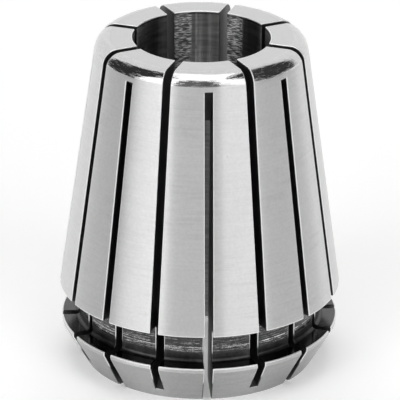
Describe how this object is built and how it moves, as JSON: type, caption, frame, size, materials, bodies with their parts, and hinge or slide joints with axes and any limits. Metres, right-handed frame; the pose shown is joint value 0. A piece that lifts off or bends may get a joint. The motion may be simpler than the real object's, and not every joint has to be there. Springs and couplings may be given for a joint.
{
  "type": "er collet",
  "caption": "Slotted steel spring collet with a long outer taper, a steep nose cone, an extraction groove between them and a straight bore right through.",
  "frame": {"origin": "centre of the nose face, on the collet's axis", "axes": "+Z along the axis from the nose face to the back face; a nose slot lies on each of +X, -X, +Y and -Y"},
  "size_m": [0.033, 0.033, 0.04],
  "materials": {
    "ground_steel": "fine ground, with black oxide left in the saw slots"
  },
  "bodies": {
    "root": {"collet": "ground_steel"}
  },
  "joints": []
}
